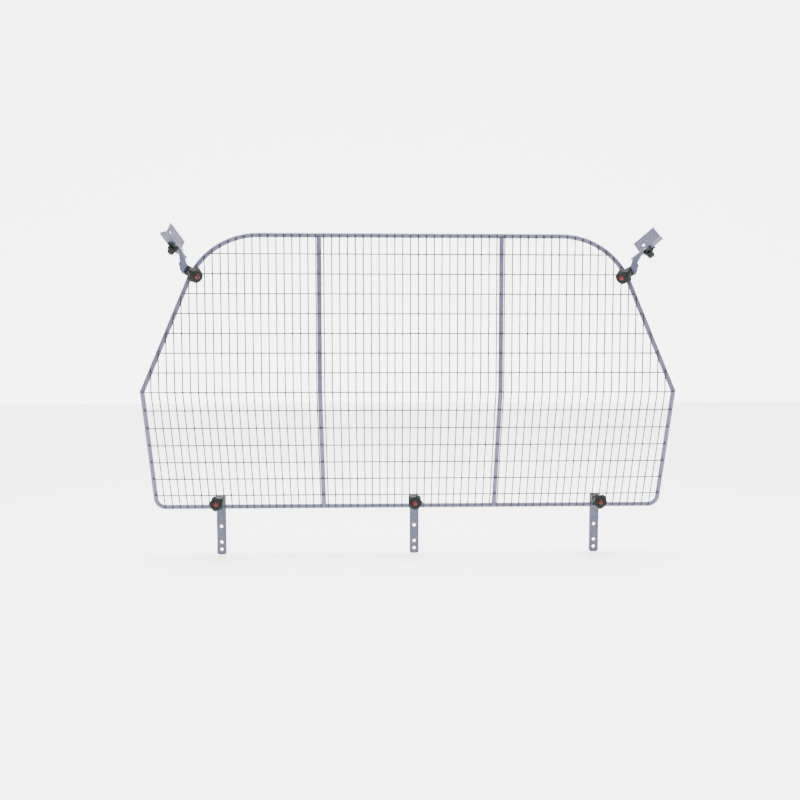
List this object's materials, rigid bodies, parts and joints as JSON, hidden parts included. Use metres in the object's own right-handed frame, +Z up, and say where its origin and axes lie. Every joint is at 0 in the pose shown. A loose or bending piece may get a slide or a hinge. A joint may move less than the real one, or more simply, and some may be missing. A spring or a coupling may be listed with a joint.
{
  "type": "cargo barrier",
  "caption": "Welded mesh cargo barrier in a bent round-bar frame, with folding roof brackets and floor straps held by screw-knob clamps.",
  "frame": {"origin": "middle of the rectangle of the outer straps' lower bolt holes, on the straps' seat-side face", "axes": "+X to the right as seen from the load space, +Y towards the seats, +Z up"},
  "size_m": [1.3812, 0.1965, 0.8768],
  "materials": {
    "frame_paint": "satin powder coat, fine orange peel",
    "mesh_paint": "satin powder coat over welded wire",
    "bracket_paint": "satin powder coat",
    "black_plastic": "moulded, fine grain",
    "red_plastic": "smooth, slightly glossy",
    "zinc_steel": "zinc plated, dull"
  },
  "bodies": {
    "frame": {"upper_hoop": "frame_paint", "lower_hoop": "frame_paint", "upright_wires": "mesh_paint", "cross_wires": "mesh_paint", "left_stiffener": "frame_paint", "right_stiffener": "frame_paint", "left_strap_block": "black_plastic", "left_strap_stud": "zinc_steel", "middle_strap_block": "black_plastic", "middle_strap_stud": "zinc_steel", "right_strap_block": "black_plastic", "right_strap_stud": "zinc_steel"},
    "left_strap": {"left_strap": "bracket_paint"},
    "left_strap_clamp_seat": {"left_strap_washer": "zinc_steel"},
    "left_strap_clamp_knob": {"left_strap_knob": "black_plastic", "left_strap_cap": "red_plastic"},
    "middle_strap": {"middle_strap": "bracket_paint"},
    "middle_strap_clamp_seat": {"middle_strap_washer": "zinc_steel"},
    "middle_strap_clamp_knob": {"middle_strap_knob": "black_plastic", "middle_strap_cap": "red_plastic"},
    "right_strap": {"right_strap": "bracket_paint"},
    "right_strap_clamp_seat": {"right_strap_washer": "zinc_steel"},
    "right_strap_clamp_knob": {"right_strap_knob": "black_plastic", "right_strap_cap": "red_plastic"},
    "left_bracket": {"left_arm": "bracket_paint", "left_back_jaw": "bracket_paint", "left_clamp_block": "black_plastic", "left_clamp_stud": "zinc_steel"},
    "left_bracket_clamp_seat": {"left_clamp_washer": "zinc_steel"},
    "left_bracket_clamp_knob": {"left_clamp_knob": "black_plastic", "left_clamp_cap": "red_plastic"},
    "left_plate": {"left_roof_plate": "bracket_paint", "left_plate_bolt": "zinc_steel", "left_stop_screw": "zinc_steel"},
    "left_plate_clamp_seat": {"left_plate_pad": "black_plastic"},
    "left_plate_clamp_knob": {"left_plate_knob": "black_plastic"},
    "right_bracket": {"right_arm": "bracket_paint", "right_back_jaw": "bracket_paint", "right_clamp_block": "black_plastic", "right_clamp_stud": "zinc_steel"},
    "right_bracket_clamp_seat": {"right_clamp_washer": "zinc_steel"},
    "right_bracket_clamp_knob": {"right_clamp_knob": "black_plastic", "right_clamp_cap": "red_plastic"},
    "right_plate": {"right_roof_plate": "bracket_paint", "right_plate_bolt": "zinc_steel"},
    "right_plate_clamp_seat": {"right_plate_pad": "black_plastic"},
    "right_plate_clamp_knob": {"right_plate_knob": "black_plastic"}
  },
  "joints": [
    {"name": "left_strap_swing", "type": "hinge", "parent": "frame", "child": "left_strap", "pos_m": [-0.513, -0.0113, 0.12713], "axis": [0, 1, 0], "range_deg": [-25, 25]},
    {"name": "left_strap_clamp_travel", "type": "slide", "parent": "frame", "child": "left_strap_clamp_seat", "axis": [0, -1, 0], "range_m": [0, 0.0025]},
    {"name": "left_strap_clamp_turn", "type": "hinge", "parent": "left_strap_clamp_seat", "child": "left_strap_clamp_knob", "pos_m": [-0.513, -0.0113, 0.12713], "axis": [0, -1, 0], "range_deg": [0, 720]},
    {"name": "middle_strap_swing", "type": "hinge", "parent": "frame", "child": "middle_strap", "pos_m": [0.014, -0.0113, 0.12713], "axis": [0, 1, 0], "range_deg": [-25, 25]},
    {"name": "middle_strap_clamp_travel", "type": "slide", "parent": "frame", "child": "middle_strap_clamp_seat", "axis": [0, -1, 0], "range_m": [0, 0.0025]},
    {"name": "middle_strap_clamp_turn", "type": "hinge", "parent": "middle_strap_clamp_seat", "child": "middle_strap_clamp_knob", "pos_m": [0.014, -0.0113, 0.12713], "axis": [0, -1, 0], "range_deg": [0, 720]},
    {"name": "right_strap_swing", "type": "hinge", "parent": "frame", "child": "right_strap", "pos_m": [0.513, -0.0113, 0.12713], "axis": [0, 1, 0], "range_deg": [-25, 25]},
    {"name": "right_strap_clamp_travel", "type": "slide", "parent": "frame", "child": "right_strap_clamp_seat", "axis": [0, -1, 0], "range_m": [0, 0.0025]},
    {"name": "right_strap_clamp_turn", "type": "hinge", "parent": "right_strap_clamp_seat", "child": "right_strap_clamp_knob", "pos_m": [0.513, -0.0113, 0.12713], "axis": [0, -1, 0], "range_deg": [0, 720]},
    {"name": "left_bracket_turn", "type": "hinge", "parent": "frame", "child": "left_bracket", "pos_m": [-0.55221, -0.12749, 0.7305], "axis": [0.5128, 0, 0.8585], "range_deg": [-30, 6]},
    {"name": "left_bracket_clamp_travel", "type": "slide", "parent": "left_bracket", "child": "left_bracket_clamp_seat", "axis": [0.5964, -0.7193, -0.3562], "range_m": [0, 0.0025]},
    {"name": "left_bracket_clamp_turn", "type": "hinge", "parent": "left_bracket_clamp_seat", "child": "left_bracket_clamp_knob", "pos_m": [-0.56308, -0.13972, 0.73699], "axis": [0.5964, -0.7193, -0.3562], "range_deg": [0, 720]},
    {"name": "left_plate_swivel", "type": "hinge", "parent": "left_bracket", "child": "left_plate", "pos_m": [-0.5965, -0.12979, 0.7968], "axis": [-0.1643, -0.6352, -0.7547], "range_deg": [-20, 20]},
    {"name": "left_plate_clamp_travel", "type": "slide", "parent": "left_bracket", "child": "left_plate_clamp_seat", "axis": [-0.1643, -0.6352, -0.7547], "range_m": [0, 0.0025]},
    {"name": "left_plate_clamp_turn", "type": "hinge", "parent": "left_plate_clamp_seat", "child": "left_plate_clamp_knob", "pos_m": [-0.5965, -0.12979, 0.7968], "axis": [-0.1643, -0.6352, -0.7547], "range_deg": [0, 720]},
    {"name": "right_bracket_turn", "type": "hinge", "parent": "frame", "child": "right_bracket", "pos_m": [0.55221, -0.12749, 0.7305], "axis": [0.5128, 0, -0.8585], "range_deg": [-30, 6]},
    {"name": "right_bracket_clamp_travel", "type": "slide", "parent": "right_bracket", "child": "right_bracket_clamp_seat", "axis": [-0.5964, -0.7193, -0.3562], "range_m": [0, 0.0025]},
    {"name": "right_bracket_clamp_turn", "type": "hinge", "parent": "right_bracket_clamp_seat", "child": "right_bracket_clamp_knob", "pos_m": [0.56308, -0.13972, 0.73699], "axis": [-0.5964, -0.7193, -0.3562], "range_deg": [0, 720]},
    {"name": "right_plate_swivel", "type": "hinge", "parent": "right_bracket", "child": "right_plate", "pos_m": [0.6063, -0.13209, 0.7931], "axis": [-0.3669, 0.5439, 0.7547], "range_deg": [-20, 20]},
    {"name": "right_plate_clamp_travel", "type": "slide", "parent": "right_bracket", "child": "right_plate_clamp_seat", "axis": [0.3669, -0.5439, -0.7547], "range_m": [0, 0.0025]},
    {"name": "right_plate_clamp_turn", "type": "hinge", "parent": "right_plate_clamp_seat", "child": "right_plate_clamp_knob", "pos_m": [0.6063, -0.13209, 0.7931], "axis": [0.3669, -0.5439, -0.7547], "range_deg": [0, 720]}
  ],
  "couplings": [
    {"joint": "left_strap_clamp_turn", "follows": "left_strap_clamp_travel", "rad_per_m": 5026.5},
    {"joint": "middle_strap_clamp_turn", "follows": "middle_strap_clamp_travel", "rad_per_m": 5026.5},
    {"joint": "right_strap_clamp_turn", "follows": "right_strap_clamp_travel", "rad_per_m": 5026.5},
    {"joint": "left_bracket_clamp_turn", "follows": "left_bracket_clamp_travel", "rad_per_m": 5026.5},
    {"joint": "left_plate_clamp_turn", "follows": "left_plate_clamp_travel", "rad_per_m": 5026.5},
    {"joint": "right_bracket_clamp_turn", "follows": "right_bracket_clamp_travel", "rad_per_m": 5026.5},
    {"joint": "right_plate_clamp_turn", "follows": "right_plate_clamp_travel", "rad_per_m": 5026.5}
  ]
}
